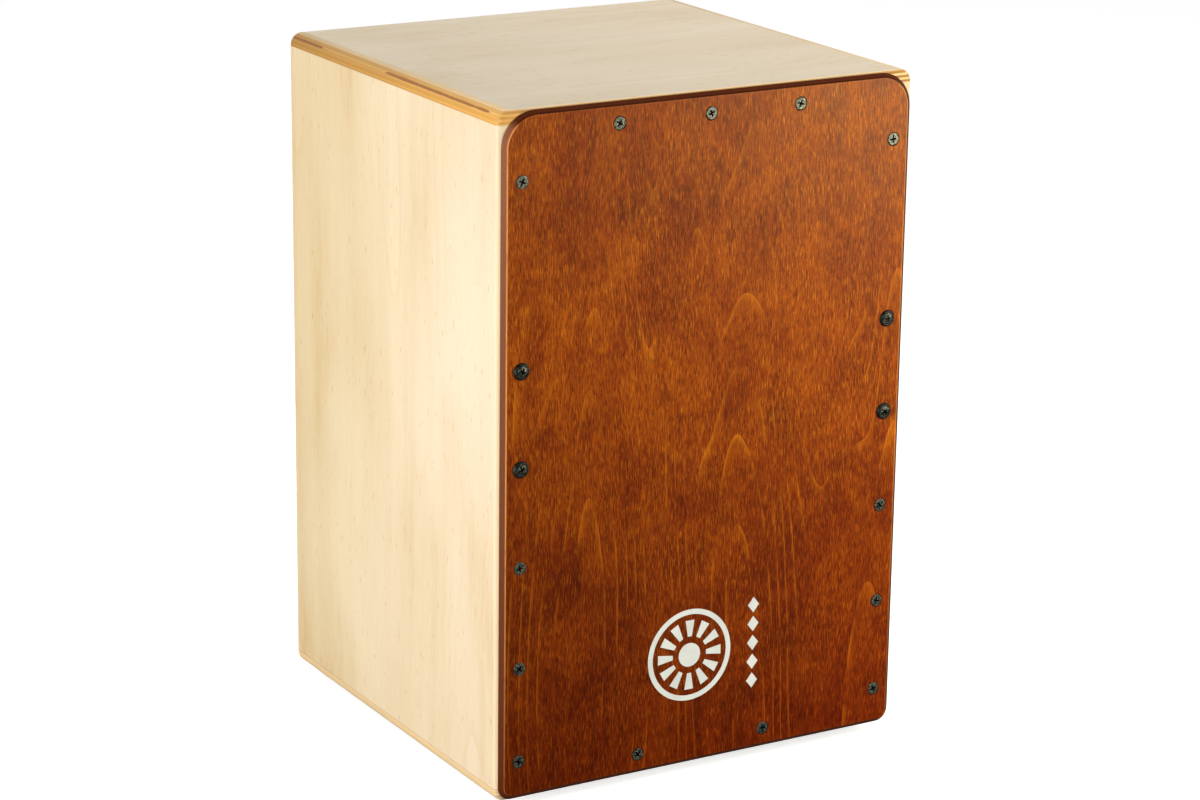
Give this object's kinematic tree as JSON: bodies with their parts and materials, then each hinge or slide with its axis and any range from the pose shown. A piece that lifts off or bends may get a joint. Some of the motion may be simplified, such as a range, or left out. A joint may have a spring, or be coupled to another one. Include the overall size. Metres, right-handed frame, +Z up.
{
  "type": "cajon",
  "caption": "Box drum of birch plywood with a thin stained playing face screwed on the front, snare wires inside, a round sound port at the back and rubber feet.",
  "frame": {"origin": "on the floor plane, under the middle of the drum's outer box (feet bottoms at z = 0)", "axes": "+Z up; the playing face looks along -Y and the sound port looks along +Y; +X is to the right of somebody who stands in front of the drum and looks along +Y at the playing face"},
  "size_m": [0.3, 0.2939, 0.451],
  "materials": {
    "birch_plywood": "satin clear lacquer over pale birch veneer, plies showing at the edges",
    "stained_plywood": "satin lacquer over reddish brown stain",
    "pine": "raw planed softwood",
    "black_oxide_steel": "dark blackened steel, satin",
    "zinc_steel": "bright zinc plate",
    "snare_steel": "bright coiled spring wire",
    "rubber": "matt black rubber",
    "white_print": "thin matt white screen print"
  },
  "bodies": {
    "root": {"top_panel": "birch_plywood", "bottom_panel": "birch_plywood", "left_side_panel": "birch_plywood", "right_side_panel": "birch_plywood", "rear_panel": "birch_plywood", "front_plate": "stained_plywood", "front_plate_screws": "black_oxide_steel", "cup_washers": "black_oxide_steel", "cup_washer_screws": "black_oxide_steel", "front_batten_left": "pine", "front_batten_right": "pine", "front_batten_top": "pine", "front_batten_bottom": "pine", "rear_batten_left": "pine", "rear_batten_right": "pine", "rear_batten_top": "pine", "rear_batten_bottom": "pine", "snare_crossbar": "pine", "crossbar_screws": "zinc_steel", "snare_bracket_left": "zinc_steel", "snare_bracket_right": "zinc_steel", "snare_bracket_screws": "zinc_steel", "snare_wires_left": "snare_steel", "snare_wires_right": "snare_steel", "foot_front_left": "rubber", "foot_front_right": "rubber", "foot_rear_left": "rubber", "foot_rear_right": "rubber", "foot_washers": "zinc_steel", "foot_screws": "zinc_steel", "emblem": "white_print"}
  },
  "joints": []
}
